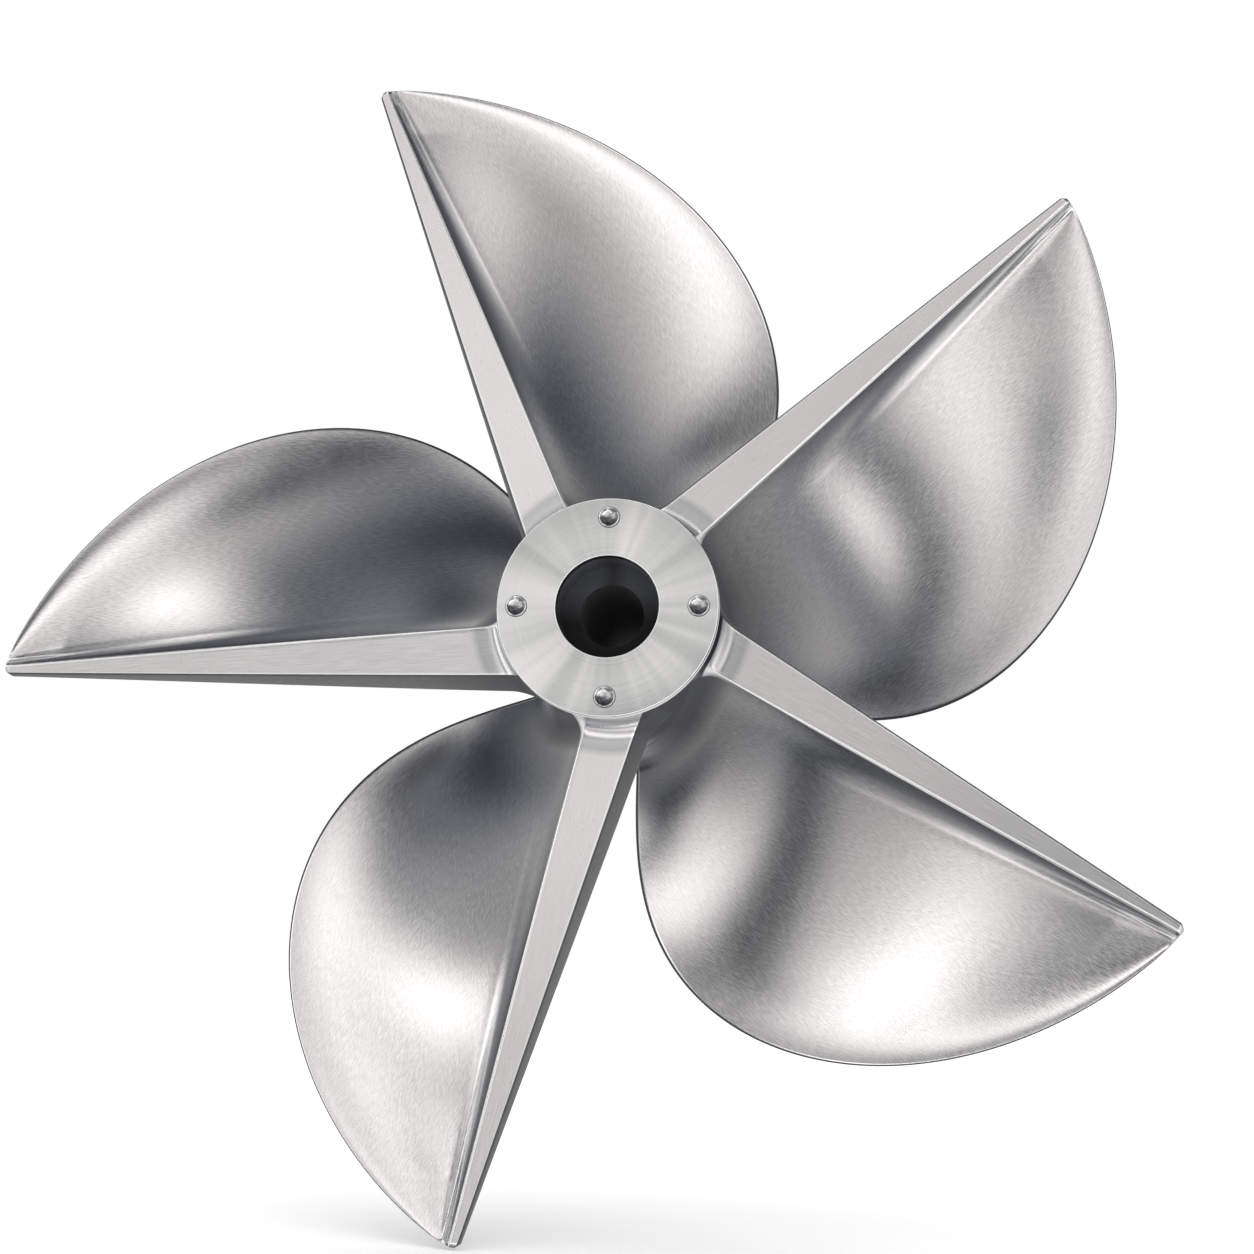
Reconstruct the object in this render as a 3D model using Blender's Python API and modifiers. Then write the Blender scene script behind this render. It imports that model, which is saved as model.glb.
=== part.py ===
"""Five-blade surface-piercing boat propeller with a bolted face plate.

The shaft runs along Y. The origin is the centre of the hub's forward face,
forward is +Y and aft is -Y, so the driving faces of the blades look towards -Y.
All sizes are in metres.
"""

import math

import bmesh
import bpy
import numpy as np

# Overall sizes
TIP_RADIUS = 0.42
BLADE_COUNT = 5
FIRST_BLADE_ANGLE = 42.0
PITCH = 1.08
RAKE = math.radians(5.6)

# Hub: shaft bore, nut recess behind the face plate, and the plate itself
HUB_LENGTH = 0.250
HUB_RADIUS = 0.0727
RECESS_RADIUS = 0.0350
RECESS_DEPTH = 0.030
SHAFT_RADIUS = 0.0220
PLATE_RADIUS = 0.0757
PLATE_THICKNESS = 0.007
EDGE_CHAMFER = 0.0010
HUB_CHAMFER = 0.0050
HUB_STEPS = 72

# Four M8 dome-headed screws
SCREW_COUNT = 4
SCREW_CIRCLE_RADIUS = 0.0620
SCREW_HEAD_RADIUS = 0.0070
SCREW_HEAD_HEIGHT = 0.0044
SCREW_RADIUS = 0.0040
SCREW_DEPTH = 0.0240
SCREW_STEPS = 20
DOME_POINTS = 5
HOLE_CLEARANCE = 0.0004

# Blade: the flat trailing land and the wedge in front of it
LAND_SETBACK = 0.0240
LAND_WIDTH_ROOT = 0.0348
LAND_WIDTH_TIP = 0.0052
LAND_WIDTH_RADIUS = 0.084
LAND_SLOPE = 0.20
BEVEL_SIDE = 0.15
BEVEL_DEPTH = 0.90
EDGE_THICKNESS = 0.0016
WEDGE_BULGE = 0.22
CAMBER = 0.040
CUP_DEPTH = 0.0030
CUP_LENGTH = 0.0080

# Blade outline: how far the leading edge runs ahead of the land
SWEEP_ANGLE = math.radians(60.0)
SWEEP_START = 0.20
SWEEP_POWER = 2.4
SWEEP_FALL = 0.88

# Blade root
ROOT_FILLET = 0.016
BURIED_RADIUS = 0.055

# Mesh resolution of a blade
FACE_POINTS = 13
BACK_POINTS = 10
SPAN_STATIONS = 18

GAP = 0.0003


def clear_scene():
    for item in list(bpy.data.objects):
        bpy.data.objects.remove(item, do_unlink=True)


def make_collection(name):
    collection = bpy.data.collections.new(name)
    bpy.context.scene.collection.children.link(collection)
    return collection


def steel(name, color, roughness):
    material = bpy.data.materials.new(name)
    material.use_nodes = True
    shader = material.node_tree.nodes["Principled BSDF"]
    shader.inputs["Base Color"].default_value = (*color, 1.0)
    shader.inputs["Metallic"].default_value = 1.0
    shader.inputs["Roughness"].default_value = roughness
    return material


def add_object(name, mesh, collection, material=None):
    item = bpy.data.objects.new(name, mesh)
    collection.objects.link(item)
    if material is not None:
        mesh.materials.clear()
        mesh.materials.append(material)
    return item


def smooth(mesh):
    mesh.shade_smooth()
    mesh.set_sharp_from_angle(angle=math.radians(30.0))


def turned(name, profile, steps, collection, closed):
    """Turn a profile of (radius, height) points about the local Z axis."""
    count = len(profile)
    edges = [(i, i + 1) for i in range(count - 1)]
    if closed:
        edges.append((count - 1, 0))
    mesh = bpy.data.meshes.new(name)
    mesh.from_pydata([(radius, 0.0, height) for radius, height in profile], edges, [])
    item = add_object(name, mesh, collection)
    screw = item.modifiers.new("Turn", "SCREW")
    screw.axis = "Z"
    screw.steps = steps
    screw.render_steps = steps
    screw.use_merge_vertices = True
    screw.merge_threshold = 0.00001
    screw.use_smooth_shade = True
    return item


def bake(item):
    """Replace an object's mesh with its evaluated one and drop the modifiers."""
    bpy.context.view_layer.update()
    graph = bpy.context.evaluated_depsgraph_get()
    mesh = bpy.data.meshes.new_from_object(item.evaluated_get(graph))
    item.modifiers.clear()
    item.data = mesh
    mesh.name = item.name
    return item


def cut(item, cutter):
    tool = item.modifiers.new("Cut", "BOOLEAN")
    tool.operation = "DIFFERENCE"
    tool.solver = "EXACT"
    tool.object = cutter


def point_aft(item):
    """Turn a piece made about Z so that its top faces aft."""
    item.rotation_euler = (math.radians(90.0), 0.0, 0.0)


def hub_profile():
    """Outside of the hub from aft to forward, then back through the stepped bore."""
    top = HUB_LENGTH - PLATE_THICKNESS - GAP
    step = HUB_LENGTH - RECESS_DEPTH
    return [
        (HUB_RADIUS - EDGE_CHAMFER, top),
        (HUB_RADIUS, top - EDGE_CHAMFER),
        (HUB_RADIUS, HUB_CHAMFER),
        (HUB_RADIUS - HUB_CHAMFER, 0.0),
        (SHAFT_RADIUS + EDGE_CHAMFER, 0.0),
        (SHAFT_RADIUS, EDGE_CHAMFER),
        (SHAFT_RADIUS, step - EDGE_CHAMFER),
        (SHAFT_RADIUS + EDGE_CHAMFER, step),
        (RECESS_RADIUS, step),
        (RECESS_RADIUS, top),
    ]


def plate_profile():
    bottom = HUB_LENGTH - PLATE_THICKNESS
    return [
        (PLATE_RADIUS - EDGE_CHAMFER, HUB_LENGTH),
        (PLATE_RADIUS, HUB_LENGTH - EDGE_CHAMFER),
        (PLATE_RADIUS, bottom),
        (RECESS_RADIUS, bottom),
        (RECESS_RADIUS, HUB_LENGTH - EDGE_CHAMFER),
        (RECESS_RADIUS + EDGE_CHAMFER, HUB_LENGTH),
    ]


def screw_places():
    for i in range(SCREW_COUNT):
        angle = 2.0 * math.pi * i / SCREW_COUNT
        yield SCREW_CIRCLE_RADIUS * math.cos(angle), SCREW_CIRCLE_RADIUS * math.sin(angle)


def make_hole_cutters(collection):
    """One cylinder for each screw, a little wider and deeper than its shank."""
    holes = []
    length = 2.0 * (SCREW_DEPTH + HOLE_CLEARANCE)
    for x, z in screw_places():
        bpy.ops.mesh.primitive_cylinder_add(
            vertices=SCREW_STEPS,
            radius=SCREW_RADIUS + HOLE_CLEARANCE,
            depth=length,
            location=(x, -HUB_LENGTH, z),
            rotation=(math.radians(90.0), 0.0, 0.0),
        )
        hole = bpy.context.object
        hole.name = "screw_hole"
        for owner in list(hole.users_collection):
            owner.objects.unlink(hole)
        collection.objects.link(hole)
        hole.hide_render = True
        hole.display_type = "WIRE"
        holes.append(hole)
    return holes


def make_hub(collection, holes, material):
    hub = turned("hub_barrel", hub_profile(), HUB_STEPS, collection, closed=True)
    hub.data.materials.append(material)
    point_aft(hub)
    for hole in holes:
        cut(hub, hole)
    return hub


def make_face_plate(collection, holes, material):
    plate = turned("face_plate", plate_profile(), HUB_STEPS, collection, closed=True)
    plate.data.materials.append(material)
    point_aft(plate)
    for hole in holes:
        cut(plate, hole)
    return plate


def screw_profile():
    """Dome, rim of the head and shank, from the top of the dome down the outside."""
    rise = SCREW_HEAD_HEIGHT
    sphere = (SCREW_HEAD_RADIUS ** 2 + rise ** 2) / (2.0 * rise)
    spread = math.asin(SCREW_HEAD_RADIUS / sphere)
    points = []
    for i in range(DOME_POINTS + 1):
        angle = spread * i / DOME_POINTS
        points.append((sphere * math.sin(angle), GAP + rise - sphere * (1.0 - math.cos(angle))))
    points.append((SCREW_RADIUS, GAP))
    points.append((SCREW_RADIUS, -SCREW_DEPTH + EDGE_CHAMFER))
    points.append((SCREW_RADIUS - EDGE_CHAMFER, -SCREW_DEPTH))
    points.append((0.0, -SCREW_DEPTH))
    return points


def make_screws(collection, material):
    first = bake(turned("plate_screw_1", screw_profile(), SCREW_STEPS, collection, closed=False))
    smooth(first.data)
    first.data.materials.clear()
    first.data.materials.append(material)
    for i, (x, z) in enumerate(screw_places()):
        if i == 0:
            screw = first
        else:
            screw = add_object(f"plate_screw_{i + 1}", first.data, collection)
        point_aft(screw)
        screw.location = (x, -HUB_LENGTH, z)


def leading_sweep(radius):
    """Angle from the land to the leading edge, falling to nothing at the tip."""
    share = (radius / TIP_RADIUS - SWEEP_START) / (1.0 - SWEEP_START)
    share = min(max(share, 0.0), 1.0)
    return SWEEP_ANGLE * (1.0 - share ** SWEEP_POWER) ** SWEEP_FALL


def land_width(radius):
    share = (radius - LAND_WIDTH_RADIUS) / (TIP_RADIUS - LAND_WIDTH_RADIUS)
    return LAND_WIDTH_ROOT + (LAND_WIDTH_TIP - LAND_WIDTH_ROOT) * share


def land_height(radius):
    """Y of the land's pressure edge, which rakes aft towards the tip."""
    return -HUB_LENGTH + LAND_SETBACK - (radius - HUB_RADIUS) * math.tan(RAKE)


def fillet_growth(radius):
    """How far the skin stands out from the section close to the hub."""
    rise = min(max(radius - HUB_RADIUS, 0.02 * ROOT_FILLET), ROOT_FILLET)
    return ROOT_FILLET - math.sqrt(ROOT_FILLET ** 2 - (ROOT_FILLET - rise) ** 2)


def blade_section(radius):
    """Closed section at one radius as (angle, y) points.

    Angles grow from the land towards the leading edge. The list runs along the
    pressure face to the leading edge, back along the suction face, and ends at
    the two corners of the bevel and the land.
    """
    slope = PITCH / (2.0 * math.pi)
    sweep = max(leading_sweep(radius), 0.004)
    width = land_width(radius)
    lean = math.cos(math.atan2(slope, radius))
    depth = CAMBER * sweep * radius / lean ** 2
    cup = CUP_DEPTH * min(1.0, sweep / 0.3)

    share = np.linspace(0.0, 1.0, FACE_POINTS) ** 1.5
    angle = share * sweep
    dip = 4.0 * depth * share * (1.0 - share)
    scoop = cup * (1.0 - np.exp(-((radius * angle / CUP_LENGTH) ** 2))) * (1.0 - share) ** 2
    face = np.column_stack([angle, slope * angle + dip + scoop])

    corner_width = (1.0 + BEVEL_SIDE) * width
    corner_angle = -math.asin(min(corner_width / radius, 0.95))
    corner_y = (LAND_SLOPE + BEVEL_DEPTH) * width
    corner_thickness = corner_y - slope * corner_angle
    share = np.linspace(1.0, 0.0, BACK_POINTS)
    angle = corner_angle + (sweep - corner_angle) * share
    thickness = corner_thickness * (1.0 - share) * (1.0 + WEDGE_BULGE * share)
    thickness = thickness + EDGE_THICKNESS / lean
    inner = np.clip(angle / sweep, 0.0, 1.0)
    dip = 4.0 * depth * inner * (1.0 - inner)
    back = np.column_stack([angle, slope * angle + dip + thickness])

    land_corner = [[-math.asin(width / radius), LAND_SLOPE * width]]
    section = np.vstack([face, back, land_corner])
    section[:, 1] += land_height(radius)
    return grow(section, radius, fillet_growth(radius))


def grow(section, radius, amount):
    """Move each point of a section outwards along its own normal."""
    if amount <= 0.0:
        return section
    flat = section * np.array([radius, 1.0])
    along = np.roll(flat, -1, axis=0) - np.roll(flat, 1, axis=0)
    along = along / np.linalg.norm(along, axis=1)[:, None]
    flat = flat + amount * np.column_stack([along[:, 1], -along[:, 0]])
    return flat / np.array([radius, 1.0])


def station_radii():
    """Radii of the blade's sections: close at the root fillet and at the tip."""
    root = [HUB_RADIUS + ROOT_FILLET * share for share in (0.0, 0.10, 0.30, 0.60)]
    start = HUB_RADIUS + ROOT_FILLET
    span = TIP_RADIUS - start
    outer = [start + span * math.sin(0.5 * math.pi * i / SPAN_STATIONS) ** 1.15
             for i in range(SPAN_STATIONS + 1)]
    return [BURIED_RADIUS] + root + outer


def loft_blade(name):
    mesh = bpy.data.meshes.new(name)
    shape = bmesh.new()
    rings = []
    for radius in station_radii():
        ring = []
        for angle, y in blade_section(radius):
            place = (radius * math.cos(angle), y, -radius * math.sin(angle))
            ring.append(shape.verts.new(place))
        rings.append(ring)
    count = len(rings[0])
    for lower, upper in zip(rings, rings[1:]):
        for i in range(count):
            j = (i + 1) % count
            shape.faces.new((lower[i], lower[j], upper[j], upper[i]))
    shape.faces.new(rings[0])
    shape.faces.new(rings[-1])
    bmesh.ops.triangulate(shape, faces=shape.faces[:])
    bmesh.ops.recalc_face_normals(shape, faces=shape.faces[:])
    shape.to_mesh(mesh)
    shape.free()
    return mesh


def make_hub_clearance(collection):
    """Cutter that keeps a blade clear of the barrel and of the plate's rim."""
    under_plate = HUB_LENGTH - PLATE_THICKNESS - GAP
    above = HUB_LENGTH + PLATE_RADIUS
    below = -PLATE_RADIUS
    profile = [
        (0.0, above),
        (PLATE_RADIUS + GAP, above),
        (PLATE_RADIUS + GAP, under_plate),
        (HUB_RADIUS + GAP, under_plate),
        (HUB_RADIUS + GAP, below),
        (0.0, below),
    ]
    cutter = turned("hub_clearance", profile, HUB_STEPS, collection, closed=False)
    point_aft(cutter)
    cutter.hide_render = True
    cutter.display_type = "WIRE"
    return cutter


def make_blades(collection, cutter, material):
    """The blades share one mesh, cut to the hub, and differ by their turn about Y."""
    first = add_object("blade_1", loft_blade("blade_1"), collection)
    cut(first, cutter)
    bake(first)
    smooth(first.data)
    first.data.materials.clear()
    first.data.materials.append(material)
    for i in range(BLADE_COUNT):
        blade = first if i == 0 else add_object(f"blade_{i + 1}", first.data, collection)
        turn = FIRST_BLADE_ANGLE - 360.0 * i / BLADE_COUNT
        blade.rotation_euler = (0.0, -math.radians(turn), 0.0)


def main():
    clear_scene()
    parts = make_collection("propeller")
    cutters = make_collection("cutters")
    cast = steel("cast_stainless", (0.55, 0.55, 0.56), 0.32)
    machined = steel("turned_stainless", (0.66, 0.66, 0.65), 0.28)
    polished = steel("polished_stainless", (0.72, 0.72, 0.72), 0.12)
    holes = make_hole_cutters(cutters)
    make_hub(parts, holes, cast)
    make_face_plate(parts, holes, machined)
    make_screws(parts, polished)
    make_blades(parts, make_hub_clearance(cutters), cast)
    bpy.context.view_layer.update()


main()
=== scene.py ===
import math

import bpy
import numpy as np
from mathutils import Matrix, Vector


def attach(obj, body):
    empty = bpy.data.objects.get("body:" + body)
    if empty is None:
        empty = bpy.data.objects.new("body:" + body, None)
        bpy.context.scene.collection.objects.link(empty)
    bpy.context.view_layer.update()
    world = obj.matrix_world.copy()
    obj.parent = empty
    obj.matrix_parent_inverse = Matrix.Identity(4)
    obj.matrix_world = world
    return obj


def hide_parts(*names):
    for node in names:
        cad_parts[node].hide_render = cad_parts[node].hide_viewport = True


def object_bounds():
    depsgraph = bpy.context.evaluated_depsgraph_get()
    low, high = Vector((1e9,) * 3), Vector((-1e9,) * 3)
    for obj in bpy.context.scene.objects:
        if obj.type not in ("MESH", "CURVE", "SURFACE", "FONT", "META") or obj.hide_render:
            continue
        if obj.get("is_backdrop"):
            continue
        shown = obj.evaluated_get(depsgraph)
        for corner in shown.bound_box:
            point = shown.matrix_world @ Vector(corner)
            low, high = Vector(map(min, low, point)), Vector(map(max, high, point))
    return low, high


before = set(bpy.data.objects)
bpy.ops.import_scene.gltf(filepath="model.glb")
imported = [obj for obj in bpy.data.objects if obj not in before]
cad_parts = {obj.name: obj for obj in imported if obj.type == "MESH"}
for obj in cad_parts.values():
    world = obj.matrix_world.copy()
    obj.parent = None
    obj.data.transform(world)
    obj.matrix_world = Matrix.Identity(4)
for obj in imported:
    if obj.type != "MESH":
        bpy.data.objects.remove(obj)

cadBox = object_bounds()
print("frame loaded:", len(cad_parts), "nodes")

# The shaft runs along Y, aft is -Y, and the driving faces of the blades look aft.
# Lengths are in metres, angles in degrees. A range is where a mark goes from none to full.


# One mesh object in world coordinates that stands for a CAD node.
def makePiece(name, node, vertices, faces, material, uv=None, marks=None):
    mesh = bpy.data.meshes.new(name)
    mesh.from_pydata(vertices.tolist(), [], faces)
    mesh.validate()
    mesh.shade_smooth()
    if uv is not None:
        layer = mesh.uv_layers.new(name="skin")
        corner = np.empty(len(mesh.loops), dtype=np.int32)
        mesh.loops.foreach_get("vertex_index", corner)
        layer.data.foreach_set("uv", uv[corner].astype(np.float32).ravel())
    for label, values in (marks or {}).items():
        attribute = mesh.attributes.new(label, "FLOAT", "POINT")
        attribute.data.foreach_set("value", values.astype(np.float32))
    mesh.materials.append(material)
    piece = bpy.data.objects.new(name, mesh)
    bpy.context.scene.collection.objects.link(piece)
    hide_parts(node)
    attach(piece, "root")
    return piece


# Quads between neighbouring rings of points: point i of a ring has index ring * around + i,
# and each ring, or the whole span, closes on its first.
def ringFaces(rings, around, closeSpan=False):
    row = np.arange(rings if closeSpan else rings - 1)[:, None]
    col = np.arange(around)[None, :]
    nextRow = (row + 1) % rings
    nextCol = (col + 1) % around
    quads = np.stack([row * around + col, row * around + nextCol,
                      nextRow * around + nextCol, nextRow * around + col], axis=-1)
    return quads.reshape(-1, 4).tolist()


# Triangles from each pair of neighbours in one ring to a centre point.
def fanFaces(ring, centre, around, flip):
    col = np.arange(around)
    first = ring * around + col
    second = ring * around + (col + 1) % around
    middle = np.full(around, centre)
    order = (middle, second, first) if flip else (middle, first, second)
    return np.stack(order, axis=-1).tolist()


# Rings joined into a tube, with a fan at each end to the two points after the last ring.
def cappedFaces(rings, around):
    faces = ringFaces(rings, around)
    faces += fanFaces(0, rings * around, around, flip=True)
    faces += fanFaces(rings - 1, rings * around + 1, around, flip=False)
    return faces


# A closed outline with each corner swapped for a curve.
#
# Each corner becomes the quadratic curve from a point one radius before it to
# a point one radius after it, with the corner as its middle control point.
def roundedCorners(corners, radii, steps=5):
    corners = np.asarray(corners, dtype=float)
    before = np.roll(corners, 1, axis=0) - corners
    after = np.roll(corners, -1, axis=0) - corners
    before /= np.linalg.norm(before, axis=1)[:, None]
    after /= np.linalg.norm(after, axis=1)[:, None]
    radii = np.asarray(radii, dtype=float)[:, None, None]
    t = np.linspace(0.0, 1.0, steps)[None, :, None]
    start = corners[:, None] + before[:, None] * radii
    end = corners[:, None] + after[:, None] * radii
    curve = (1 - t) ** 2 * start + 2 * t * (1 - t) * corners[:, None] + t ** 2 * end
    return curve.reshape(-1, 2)


# Each (radius, y) of an outline swept round the Y axis through centre.
#
# x = centre x + radius * cos(turn), z = centre z + radius * sin(turn). The turn
# runs backwards, so that the faces point outwards.
def turnedPoints(outline, segments, centre=(0.0, 0.0)):
    turn = np.linspace(0.0, -2.0 * math.pi, segments, endpoint=False)[None, :]
    radius = outline[:, 0:1]
    x = centre[0] + radius * np.cos(turn)
    z = centre[1] + radius * np.sin(turn)
    y = np.broadcast_to(outline[:, 1:2], x.shape)
    return np.stack([x, y, z], axis=-1)


# A closed (radius, y) outline with rounded corners, turned round the shaft's axis.
def makeTurned(name, node, corners, radii, segments, material):
    points = turnedPoints(roundedCorners(corners, radii), segments)
    faces = ringFaces(*points.shape[:2], closeSpan=True)
    makePiece(name, node, points.reshape(-1, 3), faces, material)


hub = {
    "length": 0.250,
    "radius": 0.0727,
    "recessRadius": 0.0350,
    "recessDepth": 0.030,
    "shaftRadius": 0.0220,
    "forwardBevel": 0.0050,
    "edgeRound": 0.0008,
    "plateGap": 0.0003,  # between the barrel and the face plate
    "segments": 240,
}


# The barrel: outside, forward face, stepped bore and aft face as one turned outline.
def makeHub(material):
    aft = plate["thickness"] + hub["plateGap"] - hub["length"]
    step = hub["recessDepth"] - hub["length"]
    tiny = hub["edgeRound"]
    corners = [(hub["radius"], aft), (hub["radius"], 0.0),
               (hub["shaftRadius"], 0.0), (hub["shaftRadius"], step),
               (hub["recessRadius"], step), (hub["recessRadius"], aft)]
    radii = [tiny, hub["forwardBevel"], tiny, tiny, tiny, tiny]
    makeTurned("hubBarrel", "hub_barrel", corners, radii,
               hub["segments"], material)


plate = {
    "radius": 0.0757,
    "thickness": 0.0070,
    "rimRound": 0.0010,
    "holeRound": 0.0009,
    "backRound": 0.0004,  # its two forward edges
    "bladeGap": 0.0004,  # kept free of the blades behind it and round it
    "segments": 320,
}


# The face plate: a turned rectangle with a rounded rim and a rounded hole edge.
def makePlate(material):
    aft = -hub["length"]
    forward = aft + plate["thickness"]
    corners = [(plate["radius"], aft), (plate["radius"], forward),
               (hub["recessRadius"], forward), (hub["recessRadius"], aft)]
    radii = [plate["rimRound"], plate["backRound"], plate["backRound"], plate["holeRound"]]
    makeTurned("facePlate", "face_plate", corners, radii,
               plate["segments"], material)


dome = {
    "count": 4,
    "circle": 0.0620,  # radius of the circle that the screws stand on
    "headRadius": 0.0070,
    "headHeight": 0.0044,
    "rimHeight": 0.0008,
    "rimWidth": 0.0009,
    "rimBevel": 0.0003,
    "shankRadius": 0.0040,
    "shankLength": 0.0240,
    "seatGap": 0.0003,
    "capPoints": 16,
    "capStart": 0.02,  # first ring of the cap, as a share of the way from its pole
    "segments": 72,
}


# A dome on a thin rim, then the shank.
#
# The dome's height falls as the square root of what is left of the radius:
# height = rim + rise * sqrt(1 - (radius / dome radius) squared).
def makeScrew(number, x, z, material):
    seat = -hub["length"] - dome["seatGap"]
    rim = seat - dome["rimHeight"]
    inner = dome["headRadius"] - dome["rimWidth"]
    rise = dome["headHeight"] - dome["rimHeight"]
    bevel = dome["rimBevel"]
    bend = np.linspace(dome["capStart"], 1.0, dome["capPoints"]) * math.pi / 2.0
    cap = np.column_stack([inner * np.sin(bend), rim - rise * np.cos(bend)])
    side = np.array([
        (dome["headRadius"] - bevel, rim),
        (dome["headRadius"], rim + bevel),
        (dome["headRadius"], seat),
        (dome["shankRadius"], seat),
        (dome["shankRadius"], seat + dome["shankLength"]),
    ])
    points = turnedPoints(np.vstack([cap, side]), dome["segments"], (x, z))
    top = [x, seat - dome["headHeight"], z]
    bottom = [x, seat + dome["shankLength"], z]
    vertices = np.vstack([points.reshape(-1, 3), [top, bottom]])
    makePiece(f"plateScrew{number}", f"plate_screw_{number}",
              vertices, cappedFaces(*points.shape[:2]), material)


# Screws at equal turns: x = circle * cos(turn), z = circle * sin(turn).
def makeScrews(material):
    for i in range(dome["count"]):
        turn = 2.0 * math.pi * i / dome["count"]
        x = dome["circle"] * math.cos(turn)
        z = dome["circle"] * math.sin(turn)
        makeScrew(i + 1, x, z, material)


blade = {
    "count": 5,
    "firstAngle": 42.0,
    "tipRadius": 0.42,
    "pitch": 1.08,
    "rake": 5.6,
    "landSetback": 0.0240,
    "landWidthRoot": 0.0348,
    "landWidthTip": 0.0052,
    "landWidthAt": 0.084,  # radius where the root width is measured
    "landSlope": 0.20,
    "bevelSide": 0.15,  # the back bevel's run and depth, in land widths
    "bevelDepth": 0.90,
    "bevelMost": 0.95,  # sine of the widest angle that land and bevel may span
    "edgeThickness": 0.0016,
    "wedgeBulge": 0.22,
    "camber": 0.040,
    "cupDepth": 0.0030,
    "cupLength": 0.0080,
    "cupSweep": 0.3,  # sweep, in radians, from which the cup has its whole depth
    "sweep": 60.0,
    "sweepStart": 0.20,
    "sweepPower": 2.4,
    "sweepFall": 0.88,
    "sweepLeast": 0.004,  # radians left at the very tip
    "rootFillet": 0.016,
    "filletFoot": 0.02,  # least height above the hub that counts, as a share of it
    "buried": 0.0030,  # how far the root runs into the hub
    "tipRound": 0.0035,
    "cornerRound": 0.0012,
    "cornerShare": 0.2,  # most of a section's reach that a corner may take
    "bevelRound": 1.5,  # the bevel's corner, in times the others
    "rimWidth": 0.0026,  # ground bevel along the leading edge
    "rimDrop": 0.0007,
    "crestTip": 0.012,  # crest of the cup, from the land at the tip, and what it gains
    "crestGain": 0.06,  # towards the shaft, both in tip radii
    "ridgeHeight": 0.0006,  # how far the crest stands up
    "ridgeShare": 0.22,  # its width as a share of its distance from the land
    "ridgeLeast": 0.0008,
    "ridgeRange": (0.40, 0.85),  # in tip radii
    "ridgeReach": 0.05,  # least width of blade that has all of it
    "grooveDepth": 0.0010,
    "groovePlace": 0.5,  # middle and width of the groove, in crest distances
    "grooveWidth": 0.4,
    "facePoints": 96,
    "faceEven": 0.30,  # share of even spacing, the rest crowds towards both edges
    "backPoints": 56,
    "backStart": 0.012,
    "nosePoints": 7,
    "noseShare": 0.3,
    "landPoints": 16,
    "landEdge": 0.025,  # close rows along the land's far edge
    "cornerPoints": 6,
    "rootStations": 22,
    "rootEase": 1.3,
    "spanStations": 120,
    "tipStations": 10,
    "tipStop": 0.995,
    "skinShift": 0.37,  # moves the brush marks on from blade to blade
}

# A section has nine stretches, in the order of its points. These carry marks of their own.
zone = {"face": 0, "nose": 1, "landCorner": 6, "land": 7, "edge": 8}
underTones = (0, 0, 0, 0.4, 0.85, 0.9, 1, 0, 0)  # how dark and matte each of the nine is made
edgeHighlight = {"far": 0.7, "near": 1.2}  # painted highlight on the two long edges of a land


# Angle from land to leading edge: sweep * (1 - share ** power) ** fall, where share
# is how far a radius lies from the start of the sweep to the tip.
def sweepAt(radius):
    start = blade["sweepStart"]
    share = np.clip((radius / blade["tipRadius"] - start) / (1.0 - start), 0.0, 1.0)
    fall = (1.0 - share ** blade["sweepPower"]) ** blade["sweepFall"]
    return np.maximum(math.radians(blade["sweep"]) * fall, blade["sweepLeast"])


# Width of the land: a straight taper from the root width to the tip width.
def landWidthAt(radius):
    share = (radius - blade["landWidthAt"]) / (blade["tipRadius"] - blade["landWidthAt"])
    return blade["landWidthRoot"] + (blade["landWidthTip"] - blade["landWidthRoot"]) * share


# Distance from the land to the crest of the cup, which closes in towards the tip:
# tip radius * (tip share + gain * (1 - radius / tip radius)).
def crestAt(radius):
    left = 1.0 - radius / blade["tipRadius"]
    return blade["tipRadius"] * (blade["crestTip"] + blade["crestGain"] * left)


# Place of the land along the shaft: setback from the plate's face, less
# (radius - hub radius) * tan(rake).
def landHeightAt(radius):
    rake = math.tan(math.radians(blade["rake"]))
    return -hub["length"] + blade["landSetback"] - (radius - hub["radius"]) * rake


# Radii of the sections: share ** ease over the root fillet, then the sine of an even
# quarter turn along the span, and the same again over the rounded tip.
def stationRadii():
    start = hub["radius"] - blade["buried"]
    filletEnd = hub["radius"] + blade["rootFillet"]
    roundStart = blade["tipRadius"] - blade["tipRound"]
    eased = np.linspace(0.0, 1.0, blade["rootStations"]) ** blade["rootEase"]
    root = start + (filletEnd - start) * eased
    turn = np.linspace(0.0, 1.0, blade["spanStations"] + 1)[1:]
    span = filletEnd + (roundStart - filletEnd) * np.sin(turn * math.pi / 2.0)
    turn = np.linspace(0.0, 1.0, blade["tipStations"] + 1)[1:]
    tip = roundStart + blade["tipRound"] * np.sin(turn * math.pi / 2.0) * blade["tipStop"]
    return np.concatenate([root, span, tip])[:, None]


# Slope of the pitch helix, pitch / (2 * pi), the cosine of its lean, and the depth of the
# camber, camber * reach / cosine squared.
def helixAt(radius, sweep):
    slope = blade["pitch"] / (2.0 * math.pi)
    lean = np.cos(np.arctan2(slope, radius))
    depth = blade["camber"] * sweep * radius / lean ** 2
    return slope, lean, depth


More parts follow.
